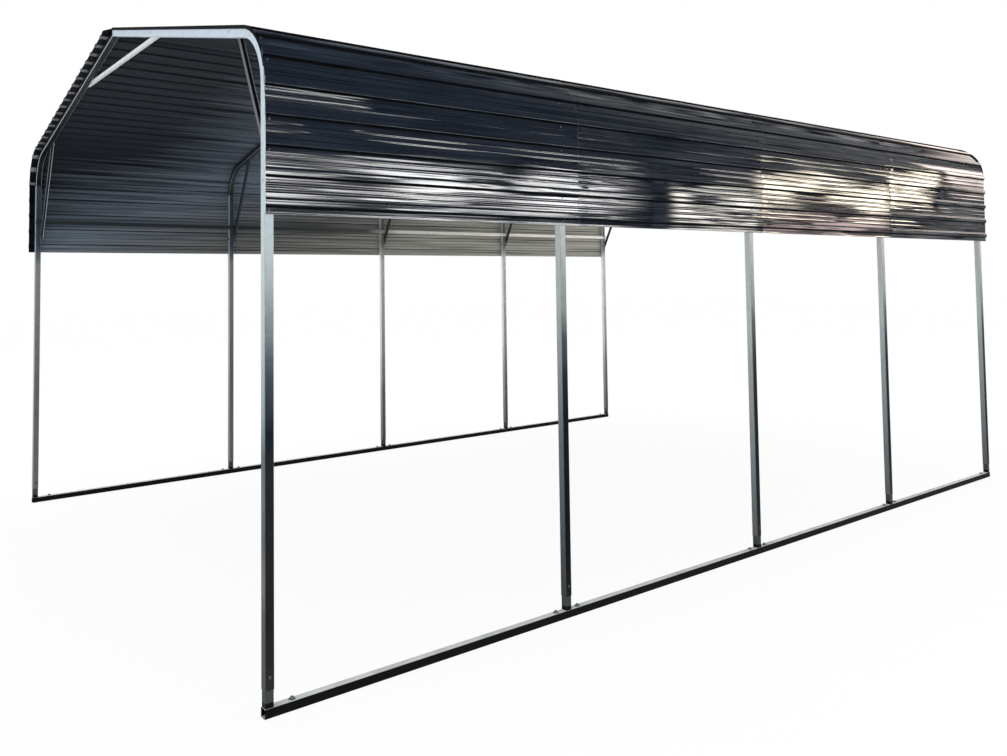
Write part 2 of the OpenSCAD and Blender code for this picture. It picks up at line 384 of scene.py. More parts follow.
# Gives the eye: near black blue, sharp mirrored streaks, slightly broken along the sheet
enamel, tree, at = finish_of("charcoal_baked_enamel")
rolled = (per_metre(LINE_LONG), per_metre(LINE_APART), 1.0)
lines = add(tree, "Mapping", {"Vector": at.outputs["UV"], "Scale": rolled})
streak = add(tree, "TexNoise", {"Vector": lines, "Scale": 1.0, "Detail": 1.0})
handled = (per_metre(DENT_LONG), per_metre(DENT_APART), 1.0)
hollows = add(tree, "Mapping", {"Vector": at.outputs["UV"], "Scale": handled})
dent = add(tree, "TexNoise", {"Vector": hollows, "Scale": 1.0, "Detail": 1.0})
relief = add(tree, "Math", {0: dent, 1: 0.8, 2: streak}, operation="MULTIPLY_ADD")
ripple = add(tree, "Bump", {"Height": relief, "Strength": 1.0, "Distance": RELIEF * MM})
cloud = {"Vector": at.outputs["UV"], "Scale": per_metre(CLOUD), "Detail": 2.0}
cloud = add(tree, "TexNoise", cloud)
mixed = add(tree, "Math", {0: streak, 1: cloud}, operation="MULTIPLY")
stops = [(0.12, "#12161e"), (0.3, "#171c25"), (0.5, "#20252c")]
tone = add(tree, "ValToRGB", {"Fac": mixed}, stops=stops)
spread = {"Value": streak, "From Min": 0.3, "From Max": 0.7, "To Min": 0.02, "To Max": 0.045}
paint = {"Base Color": tone, "Roughness": add(tree, "MapRange", spread), "Normal": ripple}
bsdf = add(tree, "BsdfPrincipled", {**paint, "IOR": 1.5, "Specular IOR Level": 0.9})
add(tree, "OutputMaterial", {"Surface": bsdf})
print("outside:", enamel.name)

# %% [markdown]
# Under each fold the gloss would mirror the dark ground, and the lower flanks lie in shade: they
# draw the thin black lines along the wall. A pointiness or occlusion node could find those places,
# but would change with the mesh, so the faces under the folds simply get painted shade: a matt,
# dark paint of their own that mirrors nothing.

# %% Painted shade under the folds
# Blotches, in millimetres
SHADE_SPOT = 111.0
# Gives the eye: painted shade, matt black without any mirrored light, a little blotchy
under, tree, at = finish_of("painted_shade_enamel_under_the_folds")
shade_blotch = {"Vector": at.outputs["UV"], "Scale": per_metre(SHADE_SPOT), "Detail": 3.0}
shade_blotch = add(tree, "TexNoise", shade_blotch)
tone = add(tree, "ValToRGB", {"Fac": shade_blotch}, stops=[(0.3, "#050709"), (0.7, "#0e1116")])
matt = {"Base Color": tone, "Roughness": 0.6, "Specular IOR Level": 0.1}
add(tree, "OutputMaterial", {"Surface": add(tree, "BsdfPrincipled", matt)})
print("folds:", under.name)

# %% [markdown]
# ## Paint on the inside
# The inside of coil steel has a thinner, dull backing coat. Its tone is painted light and shade:
# dark under the roof at the front, chalky grey towards the far open end and near the hem, where
# daylight would reach it. A painted image could carry that, but the place of a point is enough:
# the tone drifts along the carport, the hem counts as further out, and thin lines make it uneven.

# %% Grey backing coat
# Lines of the coat, in millimetres, coarser than the real ones so that they show
COAT_LONG, COAT_APART = 1250.0, 25.0
# About half the length of the carport, in metres
HALF_LONG = 3.1
# The Mix node has sockets for each kind of data. These are its places for colours
MIX_A, MIX_B, MIX_OUT = 6, 7, 2
TIMES = {"data_type": "RGBA", "blend_type": "MULTIPLY"}
# Gives the eye: painted light and shade, dull slate to chalk grey in fine level lines, hardly any
# gloss
backing, tree, at = finish_of("grey_backing_coat")
coated = (per_metre(COAT_LONG), per_metre(COAT_APART), 1.0)
lines = add(tree, "Mapping", {"Vector": at.outputs["UV"], "Scale": coated})
streak = add(tree, "TexNoise", {"Vector": lines, "Scale": 1.0, "Detail": 3.0})
place = add(tree, "SeparateXYZ", {"Vector": at.outputs["Object"]})
drift = add(tree, "MapRange", {"Value": streak, "To Min": -0.8, "To Max": 0.8})
hem = {"Value": place.outputs["Z"], "From Min": 1.9, "From Max": 2.75, "To Min": 2.2, "To Max": -0.3}
# Painted light: the tone lightens along the carport and towards the hem
painted_light_along = add(tree, "Math", {0: place.outputs["Y"], 1: drift}, operation="ADD")
painted_light_along = add(tree, "Math", {0: painted_light_along, 1: add(tree, "MapRange", hem)}, operation="ADD")
share = add(tree, "MapRange", {"Value": painted_light_along, "From Min": -HALF_LONG, "From Max": HALF_LONG})
stops = [(0.1, "#22282e"), (0.35, "#717c89"), (0.6, "#767774"), (0.9, "#b8b7af")]
tone = add(tree, "ValToRGB", {"Fac": share}, stops=stops)
spread = {"Value": streak, "From Min": 0.38, "From Max": 0.55, "To Min": 0.66, "To Max": 1.07}
lined = add(tree, "Mix", {0: 1.0, MIX_A: tone, MIX_B: add(tree, "MapRange", spread)}, **TIMES)
dull = {"Base Color": lined.outputs[MIX_OUT], "Roughness": 0.6, "Specular IOR Level": 0.08}
add(tree, "OutputMaterial", {"Surface": add(tree, "BsdfPrincipled", dull)})
print("inside:", backing.name)

# %% [markdown]
# Where the shears cut the coil, the bare zinc of its edge shows: a dull grey line round each
# sheet. The same grey lies in the rib hollows under the front overhang, as lighter spots within
# the painted shade there. A thin piece of its own could show the rim, but the faces of the rim are
# there and only need a finish.

# %% Cut edge
# Stains, in millimetres
STAIN = 25.0
# Gives the eye: a thin dull grey rim, slightly stained
cut, tree, at = finish_of("zinc_grey_cut_edge")
grain = add(tree, "TexNoise", {"Vector": at.outputs["Object"], "Scale": per_metre(STAIN)})
tone = add(tree, "ValToRGB", {"Fac": grain}, stops=[(0.3, "#6e7176"), (0.7, "#94979b")])
bsdf = add(tree, "BsdfPrincipled", {"Base Color": tone, "Roughness": 0.5})
add(tree, "OutputMaterial", {"Surface": bsdf})
print("edge:", cut.name)

# %% [markdown]
# ## Ribbed sheets
# Each sheet is a grid of two numbers, the run across it and the place along the carport. The run
# gives a foot point on the line of side, eave and slope, and the height of the folds is added
# square to that line. An extruded profile bent by a modifier would stretch its ribs at the bend,
# but here they keep their pitch. Between two ribs lie two low beads that keep the flat from
# drumming. Rows of points hold each fold close, so that shading stays flat beside it.


# %% The line of the sheet and its folds
def foot_line(run):
    """Foot point and outward direction at a run: up the side, round the bend, up the slope."""
    angle = np.clip((run - RUN_SIDE) / SHEET_R, 0, TURN)
    out = np.stack([np.cos(angle), np.sin(angle)], axis=-1)
    foot = BEND_MID + SHEET_R * out
    foot[:, 1] += np.minimum(run - RUN_SIDE, 0)
    return foot + np.maximum(run - RUN_EAVE, 0)[:, None] * SLOPE_IN, out


BEADS = RIB_FOOT / 2 + (RIB_PITCH - RIB_FOOT) * np.array([1, 2]) / 3
BEAD_H, BEAD_HALF, HOLD, NEAREST = 0.4, 8.0, 3.0, 0.5


def from_rib(run):
    """Distance of a run from the middle of the nearest rib, less than 0 below it."""
    return (run - RIB_FIRST + RIB_PITCH / 2) % RIB_PITCH - RIB_PITCH / 2


def fold_height(run):
    """Height of the pressed folds: ribs with eased flanks, two low beads between them."""
    off = from_rib(run)
    rib = RIB_H * ease((RIB_FOOT / 2 - np.abs(off)) / (RIB_FOOT / 2 - RIB_CREST / 2))
    near = np.abs((off % RIB_PITCH)[:, None] - BEADS)
    return rib + BEAD_H * ease(1 - near / BEAD_HALF).max(axis=1)


def run_stops(low, high):
    """Runs at which the folds turn, between two ends, close together on ribs and beads."""
    flank = RIB_CREST / 2 + (RIB_FOOT - RIB_CREST) / 2 * np.array([0, 0.2, 0.4, 0.6, 0.8, 1])
    flank = np.concatenate([[RIB_CREST / 2 - HOLD], flank, [RIB_FOOT / 2 + HOLD]])
    rib = np.concatenate([-flank[::-1], [0], flank])
    bead = BEADS[:, None] + BEAD_HALF * np.array([-1.2, -1, -0.7, -0.35, 0, 0.35, 0.7, 1, 1.2])
    one = np.concatenate([rib, bead.ravel(), [BEADS.mean()]])
    every = np.sort((RIB_FIRST + RIB_PITCH * np.arange(-1, RIBS + 1)[:, None] + one).ravel())
    inside = every[(every > low + NEAREST) & (every < high - NEAREST)]
    return np.concatenate([[low], inside, [high]])


print("rows of points from hem to ridge:", len(run_stops(0.0, RUN_RIDGE)))

# %% [markdown]
# Thin steel never lies quite flat: it waves a little between the frames that hold it, and the
# mirrored light breaks up there. A modifier with a noise could dent it, but would lift it off
# the frames too, so three waves that fade out there do it. Where two sheets meet, the rear one
# laps over the front one. The front sheet on the left stands out past its frame, with its corner
# at the ridge snipped. A folded cap covers the ridge, level with the ribs.

# %% Ends, laps and dents of a sheet
LAP, LAP_RISE, LAP_EASE = 45.0, 1.1, 90.0
LAP_COLUMNS = np.array([0.1, 0.3, 0.5, 0.75])
SNIP_RUN, SNIP_EASE = 60.0, 130.0
CAP, CAP_EASE = 95.0, 25.0
# Length across, length along and height of each wave, in millimetres
WAVES = np.array([[230.0, 1900.0, 0.12], [140.0, 1300.0, 0.05], [410.0, 800.0, 0.25]])


def wave(run, y, phases):
    """Slight dents: three waves across and along the sheet, gone where a frame holds it."""
    free = 1 - np.exp(-(((y[:, None] - FRAME_Y) / SEAM_PAST) ** 2)).max(axis=1)
    turns = run[:, None, None] / WAVES[:, 0] + y[None, :, None] / WAVES[:, 1]
    return (np.sin(2 * np.pi * turns + phases) * WAVES[:, 2]).sum(axis=2) * free


def sheet_ends(side, bay):
    """Where a sheet starts and ends along the carport, with the length that lies under a lap."""
    past = FRONT_PAST if side < 0 else 0.0
    start = FRAME_Y[bay] + SEAM_PAST if bay else FRAME_Y[0] - TUBE / 2 - past
    if bay < BAYS - 1:
        return start, FRAME_Y[bay + 1] + SEAM_PAST + LAP
    return start, FRAME_Y[-1] + (SEAM_PAST if side > 0 else TUBE / 2)


def columns(side, bay, cells):
    """Places along the carport: even steps, more of them on a lap and one at the front tube."""
    start, end = sheet_ends(side, bay)
    more = FRAME_Y[:1] if side < 0 else []
    if bay:
        more = start + LAP_EASE * LAP_COLUMNS
    return np.sort(np.append(np.linspace(start, end, cells + 1), more))


print("first sheets start at", [sheet_ends(side, 0)[0] for side in (-1, 1)])

# %% [markdown]
# A sheet is one closed skin: an outer grid of points, an inner one a sheet's thickness below it,
# and a strip of faces round their rims. Solidify could add the inner grid, but here each face
# also gets a finish by its place: enamel outside, backing coat inside, painted shade under the
# folds.


# %% Points and faces of a sheet
def sheet_points(side, bay, run, y, phases):
    """Outer and inner grid: the foot line, lifted square to it by folds, dents, lap and cap."""
    foot, out = foot_line(run)
    lift = LAP_RISE * ease(1 - (y - y[0]) / LAP_EASE) if bay else np.zeros_like(y)
    rise = fold_height(run)[:, None] + wave(run, y, phases) + lift
    rise = np.maximum(rise, RIB_H * ease((run - RUN_RIDGE + CAP) / CAP_EASE)[:, None])
    place = np.broadcast_to(y, rise.shape)
    if side < 0 and bay == 0:
        snip = FRONT_PAST * ease(1 - (RUN_RIDGE - run) / SNIP_RUN)
        place = y + snip[:, None] * ease(1 - (y - y[0]) / SNIP_EASE)
    skins = []
    for thick in (SHEET_T, 0.0):
        flat = foot[:, None, :] + out[:, None, :] * (rise + thick)[:, :, None]
        if run[-1] == RUN_RIDGE:
            flat[-1] = [0.0, RIDGE_Z + (RIB_H + thick) / np.cos(SLOPE)]
        skins.append(np.stack([side * flat[..., 0], place, flat[..., 1]], axis=-1))
    return np.stack(skins) * MM


def skin_faces(rows, cols):
    """Faces of the outer grid, of the inner one turned round, and of the strip round their rims."""
    count = rows * cols
    number = np.arange(count).reshape(rows, cols)
    loop = np.concatenate([number[0], number[1:, -1], number[-1, -2::-1], number[-2:0:-1, 0]])
    after = np.roll(loop, -1)
    rim = np.stack([loop, loop + count, after + count, after], axis=1)
    outer = grid_faces(rows, cols)
    return np.concatenate([outer, outer[:, ::-1] + count, rim])


SHEET_FINISHES = (enamel, under, backing, cut)
# Numbers of the finishes: enamel, painted shade of the folds, backing coat, bare edge
ENAMEL, FOLD_SHADE, COAT, BARE = range(4)
BEAD_SHADE = np.array([-0.75, -0.3]) * BEAD_HALF


def face_kinds(run, y):
    """Finish number of each face by the middle of its strip: painted shade under ribs and beads.

    Inside, painted shade lies over the ribs of side and eave. In front of the front tube the inside
    has painted shade too, with bare grey in the rib hollows above the wall. The rim is bare.
    """
    middle = (run[1:] + run[:-1]) / 2
    off = from_rib(middle)
    bead = (off % RIB_PITCH)[:, None] - BEADS
    bead = ((bead > BEAD_SHADE[0]) & (bead < BEAD_SHADE[1])).any(axis=1)
    rib_under = (off > -RIB_FOOT / 2 - HOLD) & (off < -RIB_CREST / 2)
    rib_over = (off > RIB_CREST / 2) & (off < RIB_FOOT / 2)
    outer = np.repeat(np.where(rib_under | bead, FOLD_SHADE, ENAMEL), len(y) - 1)
    inner = np.where((rib_over | bead) & (run[-1] < RUN_RIDGE), FOLD_SHADE, COAT)
    hollow = (np.abs(off) < RIB_FOOT / 2) & (middle > RUN_SIDE)
    brim = np.where(hollow, BARE, FOLD_SHADE)
    inner = np.where(y[1:] <= FRAME_Y[0], brim[:, None], inner[:, None])
    rim = np.full(2 * (len(run) + len(y)) - 4, BARE)
    return np.concatenate([outer, inner.ravel(), rim])


print("finishes of a sheet:", [m.name for m in SHEET_FINISHES])

# %% [markdown]
# Now the sheets are laid over the bays. One long skin could cover each side, but every real sheet
# has its own dents, here from a fixed seed, and ends at a lap. Its map is laid flat, as the steel
# left the mill. It stands in for the plain solid of the same name.

# %% Sheets over the bays
SHARP = np.radians(60)
# Name, runs from and to, and cells along the bay
KINDS = (("eave", 0.0, RUN_EAVE, 24), ("roof", RUN_EAVE, RUN_RIDGE, 12))


def ribbed_sheet(name, side, bay, low, high, cells, seed):
    """A closed thin skin over one bay, from one run to another, mapped by length and run."""
    run = run_stops(low, high)
    y = columns(side, bay, cells)
    phases = np.random.default_rng(seed).uniform(0, 2 * np.pi, len(WAVES))
    faces = skin_faces(len(run), len(y))
    if side > 0:
        faces = faces[:, ::-1]
    made = sheet_mesh(name, sheet_points(side, bay, run, y, phases), faces)
    for finish in SHEET_FINISHES:
        made.data.materials.append(finish)
    made.data.polygons.foreach_set("material_index", face_kinds(run, y))
    made.data.set_sharp_from_angle(angle=SHARP)
    flat_map = made.data.uv_layers.new(name="sheet")
    spread = np.stack(np.broadcast_arrays(y[None, :], run[:, None]), axis=-1).reshape(-1, 2) * MM
    flat_map.data.foreach_set("uv", spread[faces.ravel() % len(spread)].ravel())
    return made


for side, word in ((-1, "left"), (1, "right")):
    for bay in range(BAYS):
        for kind, low, high, cells in KINDS:
            node = f"{kind}_sheet_{word}_{bay + 1}"
            seed = 100 * (side + 2) + 10 * bay + (kind == "roof")
            skin = ribbed_sheet(node + "_skin", side, bay, low, high, cells, seed)
            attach(skin, "root")
            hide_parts(node)

# %% [markdown]
# ## Zinc on the tubes
# The tubes are galvanised: dipped zinc freezes in flakes called spangle, and is half a mirror.
# Faces to the front stay pale, faces to the side turn dark below the height where they stop
# mirroring the sky, and the rounded corners keep a thin bright line. A studio can't mirror all
# that, so these reflections are painted: each tube gets two rows of tones by height, one for faces
# to front and back and one for the sides, and a painted highlight line at its corners. Between two
# faces, the squared normal along Y goes from 1 to 0, and is a half in the middle of the corner,
# where the bright line lies.

# %% Galvanised tube
# Top of the rows of painted tones, just above the ridge, and the step to a painted lit edge, in
# metres
TONE_TOP, LIT_STEP = 3.2, 0.002
EDGE_SHINE, LIT_MOST = "#d3dde4", 0.7
# Blotches of tone, and flakes as on new dipped tube, in millimetres
BLOTCH, FLAKE = 167.0, 18.2


# Gives the eye: soft flakes, painted reflections pale to nearly black by height,
# and thin painted highlight lines at the corners
def zinc_finish(name, front, side, glint, metal=0.5, lit_from=None):
    """Spangled zinc, its reflections painted: tones by height in metres for front and side faces.

    Corners are paler by glint, a painted highlight. Behind the length lit_from, in metres, the
    back edge of the tube gets the same painted highlight.
    """
    made, tree, at = finish_of(name)
    place = add(tree, "SeparateXYZ", {"Vector": at.outputs["Object"]})
    blotch = {"Vector": at.outputs["Object"], "Scale": per_metre(BLOTCH), "Detail": 3.0}
    blotch = add(tree, "TexNoise", blotch)
    wander = add(tree, "MapRange", {"Value": blotch, "To Min": -0.1, "To Max": 0.1})
    height = add(tree, "Math", {0: place.outputs["Z"], 1: wander}, operation="ADD")
    share = add(tree, "MapRange", {"Value": height, "From Min": 0.0, "From Max": TONE_TOP})
    rows = ([(z / TONE_TOP, code) for z, code in row] for row in (side, front))
    side_tone, front_tone = (add(tree, "ValToRGB", {"Fac": share}, stops=row) for row in rows)
    facing = add(tree, "NewGeometry").outputs["True Normal"]
    along = add(tree, "SeparateXYZ", {"Vector": facing}).outputs["Y"]
    ahead = add(tree, "Math", {0: along, 1: along}, operation="MULTIPLY")
    rest = add(tree, "Math", {0: 1.0, 1: ahead}, operation="SUBTRACT")
    corner = add(tree, "Math", {0: ahead, 1: rest}, operation="MULTIPLY")
    line = add(tree, "Math", {0: corner, 1: 4 * glint}, operation="MULTIPLY")
    if lit_from is not None:
        back = {"From Min": lit_from, "From Max": lit_from + LIT_STEP, "To Max": LIT_MOST}
        back = add(tree, "MapRange", {"Value": place.outputs["Y"], **back})
        line = add(tree, "Math", {0: line, 1: back}, operation="MAXIMUM")
    faces = add(tree, "Mix", {0: ahead, MIX_A: side_tone, MIX_B: front_tone}, data_type="RGBA")
    edged = {0: line, MIX_A: faces.outputs[MIX_OUT], MIX_B: EDGE_SHINE}
    edged = add(tree, "Mix", edged, data_type="RGBA")
    flake = {"Vector": at.outputs["Object"], "Scale": per_metre(FLAKE)}
    flake = add(tree, "TexVoronoi", flake).outputs["Color"]
    mottle = add(tree, "MapRange", {"Value": flake, "To Min": 0.85, "To Max": 1.0})
    spangle = add(tree, "Mix", {0: 1.0, MIX_A: edged.outputs[MIX_OUT], MIX_B: mottle}, **TIMES)
    gloss = add(tree, "MapRange", {"Value": flake, "To Min": 0.35, "To Max": 0.5})
    zinc = {"Base Color": spangle.outputs[MIX_OUT], "Roughness": gloss, "Specular IOR Level": 0.2}
    bsdf = add(tree, "BsdfPrincipled", {**zinc, "Metallic": metal})
    add(tree, "OutputMaterial", {"Surface": bsdf})
    return made


print("tones reach up to", TONE_TOP, "m")

# %% [markdown]
# Which tube mirrors what depends on where it stands, and its tones paint that light and shade.
# The right legs are painted pale above and nearly black below, the far ones a little less. The
# left legs stand in the open and are painted paler. Of the bows, the front right one is painted
# as facing the light, the front left one black with bright painted corners, and those under the
# roof dark, as painted shade. The front braces are painted dark below and bright above, with a
# painted highlight on the back edge. The dull old zinc of the left legs counts as less of a
# metal, so that it takes its tone from the paint and not from the studio.

# %% Tones of the tubes
# Rows of tones: height in metres and colour
PALE = [(1.75, "#d6e3e3"), (2.7, "#e4f2ff")]
DARK = [(1.95, "#2c3033"), (2.3, "#34383b")]
BLACK = [(1.95, "#14171a"), (2.3, "#181b1e")]
# The front braces lie behind the first tube, and the last of their depth gets a painted highlight
BRACE_D, BACK_EDGE = 18.0, 4.5
BRACE_BACK = (FRAME_Y[0] + TUBE / 2 + BRACE_D - BACK_EDGE) * MM
DULL = 0.1
tubes = {
    "right_front_leg": zinc_finish(
        "galvanised_right_front_leg",
        [(0.1, "#34363a"), (0.34, "#44464a"), (0.5, "#6a6c6c"), (0.67, "#525659"), (0.82, "#686c6f")]
        + [(0.95, "#5a646c"), (1.06, "#76858e"), (1.2, "#a8b6be"), (1.45, "#c8d1d4")]
        + PALE,
        [(0.1, "#303132"), (0.95, "#323436"), (1.08, "#1f2c37"), (1.32, "#66717c"), (1.48, "#a6afaf")]
        + PALE,
        glint=0.1,
    ),
    "right_leg": zinc_finish(
        "galvanised_right_leg",
        [(0.1, "#3a3e42"), (0.4, "#4e5459"), (0.8, "#646b6f"), (1.1, "#80888c"), (1.5, "#b4bcbf")]
        + [(2.0, "#ced4d6")],
        [(0.1, "#191a1b"), (1.0, "#212528"), (1.15, "#2d3235"), (1.35, "#5e6568"), (1.5, "#a2a8a8")]
        + [(2.0, "#d0d4d4")],
        glint=0.1,
    ),
    "far_right_leg": zinc_finish(
        "galvanised_far_right_leg",
        [(0.1, "#5e6266"), (0.4, "#747a7e"), (0.8, "#939a9d"), (1.1, "#a6adb0"), (1.33, "#c0c8ca")]
        + [(2.0, "#ced4d6")],
        [(0.1, "#26282a"), (1.0, "#2f3336"), (1.15, "#3c4245"), (1.35, "#6a7174"), (1.5, "#a6acac")]
        + [(2.0, "#d0d4d4")],
        glint=0.1,
    ),
    "left_front_leg": zinc_finish(
        "galvanised_left_front_leg",
        [(0.1, "#7c7f81"), (0.6, "#8e9193"), (1.0, "#b4b6b8"), (1.8, "#bcbec0"), (1.95, "#9db4c2")],
        [(0.1, "#6c6f71"), (0.9, "#6e7173"), (1.5, "#8e9193"), (1.8, "#989b9d"), (1.95, "#3e4850")],
        glint=0.3,
        metal=DULL,
    ),
    "left_leg": zinc_finish(
        "galvanised_left_leg",
        [(0.1, "#6c6f71"), (0.6, "#a4a7a9"), (1.0, "#e6e8e6"), (1.85, "#ffffff"), (2.0, "#d0d1ce")],
        [(0.1, "#4c4f51"), (0.6, "#6c6f71"), (1.0, "#a6a8a7"), (1.85, "#dcddd9"), (2.0, "#6a6c6b")],
        glint=0.2,
        metal=DULL,
    ),
    "front_bow": zinc_finish("galvanised_front_bow", PALE, PALE, glint=0.1),
    "left_front_bow": zinc_finish("galvanised_left_front_bow", BLACK, BLACK, glint=1.0),
    "inner_bow": zinc_finish("galvanised_inner_bow", DARK, DARK, glint=0.5),
    "front_brace": zinc_finish(
        "galvanised_front_brace",
        [(2.7, "#707378"), (2.86, "#f6f7f8")],
        [(2.7, "#181b1d"), (2.86, "#e4e6e8")],
        glint=0.7,
        metal=0.2,
        lit_from=BRACE_BACK,
    ),
    "inner_brace": zinc_finish(
        "galvanised_inner_brace",
        [(2.0, "#1b1d1f"), (2.9, "#2b2e30")],
        DARK,
        glint=0.0,
    ),
}
print("tube finishes:", [m.name for m in tubes.values()])

# %% [markdown]
# ## Ground rails and girts
# The rails get painted light and shade: faces that point up are pale, as if mirroring the sky,
# and faces that point sideways are black, as if mirroring dark ground. Two finishes could be
# given to two pieces, but the rail is one solid. So the way a face points tells the two apart,
# and above the rail the stubs of the legs are paler.

# %% Ground rail
# Stains of splashed dirt, in millimetres
SPLASH = 111.0
# Gives the eye: a pale top line over a matt black side, painted light and shade, both stained
rail, tree, at = finish_of("galvanised_ground_rail")
facing = add(tree, "NewGeometry").outputs["Normal"]
up = add(tree, "SeparateXYZ", {"Vector": facing}).outputs["Z"]
high = add(tree, "SeparateXYZ", {"Vector": at.outputs["Object"]}).outputs["Z"]
stub = {"Value": high, "From Min": 0.037, "From Max": 0.06, "To Min": 0.0, "To Max": 0.55}
# Painted light and shade: the tone by the way a face points, paler on the stubs
painted_light_share = add(tree, "Math", {0: up, 1: add(tree, "MapRange", stub)}, operation="MAXIMUM")
stops = [(0.45, "#050607"), (0.7, "#6f7577"), (0.85, "#dfe2e2")]
tone = add(tree, "ValToRGB", {"Fac": painted_light_share}, stops=stops)
blotch = {"Vector": at.outputs["Object"], "Scale": per_metre(SPLASH), "Detail": 4.0}
blotch = add(tree, "TexNoise", blotch)
spread = {"Value": blotch, "From Min": 0.3, "From Max": 0.7, "To Min": 0.75, "To Max": 1.0}
spotted = add(tree, "Mix", {0: 1.0, MIX_A: tone, MIX_B: add(tree, "MapRange", spread)}, **TIMES)
painted_rail = {"Base Color": spotted.outputs[MIX_OUT], "Roughness": 0.6, "Specular IOR Level": 0.1}
add(tree, "OutputMaterial", {"Surface": add(tree, "BsdfPrincipled", painted_rail)})
print("rail:", rail.name)

# %% [markdown]
# The girts tie the legs along the wall. They are the same dipped zinc, but catch the daylight
# only in the two far bays. A lamp there could do that, but would light the legs too, so their
# tone changes half way along.

# %% Girt
# Gives the eye: a thin line, dull grey near the front and nearly white at the far end
batten, tree, at = finish_of("galvanised_girt")
along = add(tree, "SeparateXYZ", {"Vector": at.outputs["Object"]}).outputs["Y"]
share = add(tree, "MapRange", {"Value": along, "From Min": -HALF_LONG, "From Max": HALF_LONG})
stops = [(0.3, "#3a3e41"), (0.47, "#565a5b"), (0.53, "#fafaf6")]
tone = add(tree, "ValToRGB", {"Fac": share}, stops=stops)
flake = {"Vector": at.outputs["Object"], "Scale": per_metre(FLAKE)}
flake = add(tree, "TexVoronoi", flake).outputs["Color"]
mottle = add(tree, "MapRange", {"Value": flake, "To Min": 0.85, "To Max": 1.0})
spangle = add(tree, "Mix", {0: 1.0, MIX_A: tone, MIX_B: mottle}, **TIMES).outputs[MIX_OUT]
bsdf = add(tree, "BsdfPrincipled", {"Base Color": spangle, "Metallic": 0.3, "Roughness": 0.4})
add(tree, "OutputMaterial", {"Surface": bsdf})
print("girt:", batten.name)

# %% [markdown]
# The solids of the frame keep their shape and only get a finish. A list could name one for each,
# but their own names say what they are and where they stand. Frame 1 is the front one.


# %% Finishes of the solids
def node_finish(name):
    """The finish of a solid of the frame, by the words and the number in its name."""
    kind, side, number = (name.split("_") + ["", ""])[:3]
    if kind == "base":
        return rail
    if kind == "girt":
        return batten
    if kind == "braces":
        return tubes["front_brace" if side == "1" else "inner_brace"]
    if kind == "bow" and number == "1":
        return tubes["left_front_bow" if side == "left" else "front_bow"]
    if kind == "bow":
        return tubes["inner_bow"]
    if kind == "leg" and side == "right":
        return tubes[{"1": "right_front_leg", "2": "right_leg"}.get(number, "far_right_leg")]
    if kind == "leg":
        return tubes["left_front_leg" if number in ("1", "2") else "left_leg"]
    return None


for name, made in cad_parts.items():
    finish = node_finish(name)
    if finish:
        made.data.materials.clear()
        made.data.materials.append(finish)
print("solids with a finish:", sum(node_finish(n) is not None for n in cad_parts))

# %% [markdown]
# ## Edge trims
# On the right side, a thin folded strip closes the open ends of the ribs. At the front it is bare
# zinc down the wall, in the pale finish of the front bow with its painted reflections, and takes
# the painted shade of the folds round the bend and up the slope, where it covers the top of the
# tube. At the rear it is painted as the sheet, and starts at the bend. A curve with a bevel could
# make it, but a rectangle carried along the line of the sheet by a formula can also change its
# height on the way.

# %% Trims along the ends of the sheets
TRIM, TRIM_EASE, TRIM_LEAST = 4.0, 250.0, 0.02
TURN_OFF, FRONT_DROP = 60.0, 4.5
FRONT_TURN, REAR_TURN = RUN_SIDE + TURN_OFF, RUN_SIDE - TURN_OFF


def edge_trim(name, low, turn, hem, start, drop, finishes):
    """A rectangle carried along the line of the sheet, from the run low up to the ridge.

    Its outer edge has the share hem of the ribs' height at first, eases to nearly nothing at the
    run turn and back to the full height past it. Its inner edge sinks by drop there. The first
    finish is for the length before turn, the second for the rest.
    """
    run = run_stops(low, RUN_RIDGE)
    grown = ease((run - turn) / TRIM_EASE)[:, None]
    foot, out = foot_line(run)
    foot[-1] = [0.0, RIDGE_Z]
    plain = np.maximum(hem * ease((turn - run) / TRIM_EASE), TRIM_LEAST)[:, None]
    outer = (RIB_H + SHEET_T) * np.maximum(plain, grown)
    inner = -drop * grown
    high = np.concatenate([inner, outer, outer, inner], axis=1)
    flat = foot[:, None, :] + out[:, None, :] * high[:, :, None]
    deep = np.broadcast_to(start + TRIM * np.array([0, 0, 1, 1]), high.shape)
    points = np.stack([flat[..., 0], deep, flat[..., 1]], axis=-1) * MM
    i, j = np.meshgrid(np.arange(len(run) - 1), np.arange(4), indexing="ij")
    a = 4 * i + j
    b = 4 * i + (j + 1) % 4
    around = np.stack([a, a + 4, b + 4, b], axis=-1).reshape(-1, 4)
    ends = np.array([[0, 1, 2, 3], [3, 2, 1, 0]]) + [[0], [4 * (len(run) - 1)]]
    faces = np.concatenate([around, ends])
    made = sheet_mesh(name, points, faces, False)
    flat_map = made.data.uv_layers.new(name="sheet")
    flat_map.data.foreach_set("uv", points.reshape(-1, 3)[faces.ravel()][:, [1, 2]].ravel())
    for finish in finishes:
        made.data.materials.append(finish)
    kinds = np.append(np.repeat(run[1:] > turn, 4), [False, True])
    made.data.polygons.foreach_set("material_index", kinds.astype(int))
    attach(made, "root")


front = FRAME_Y[0] - TUBE / 2 - TRIM
rear = FRAME_Y[-1] + SEAM_PAST
edge_trim("front_edge_trim", 0.0, FRONT_TURN, 1.0, front, FRONT_DROP, (tubes["front_bow"], under))
edge_trim("rear_edge_trim", REAR_TURN, REAR_TURN, 0.0, rear, 0.0, (enamel, enamel))

# %% [markdown]
# ## Screws and bolts
# Screws and bolts are steel with a thin plating of zinc, which soon turns dull. A plain grey would
# nearly do at their size, but a slight cloud keeps a row of heads from looking all alike.

# %% Plated steel
# Clouds of the plating, in millimetres, coarser than its crystals so that they show
CRYSTAL = 8.3
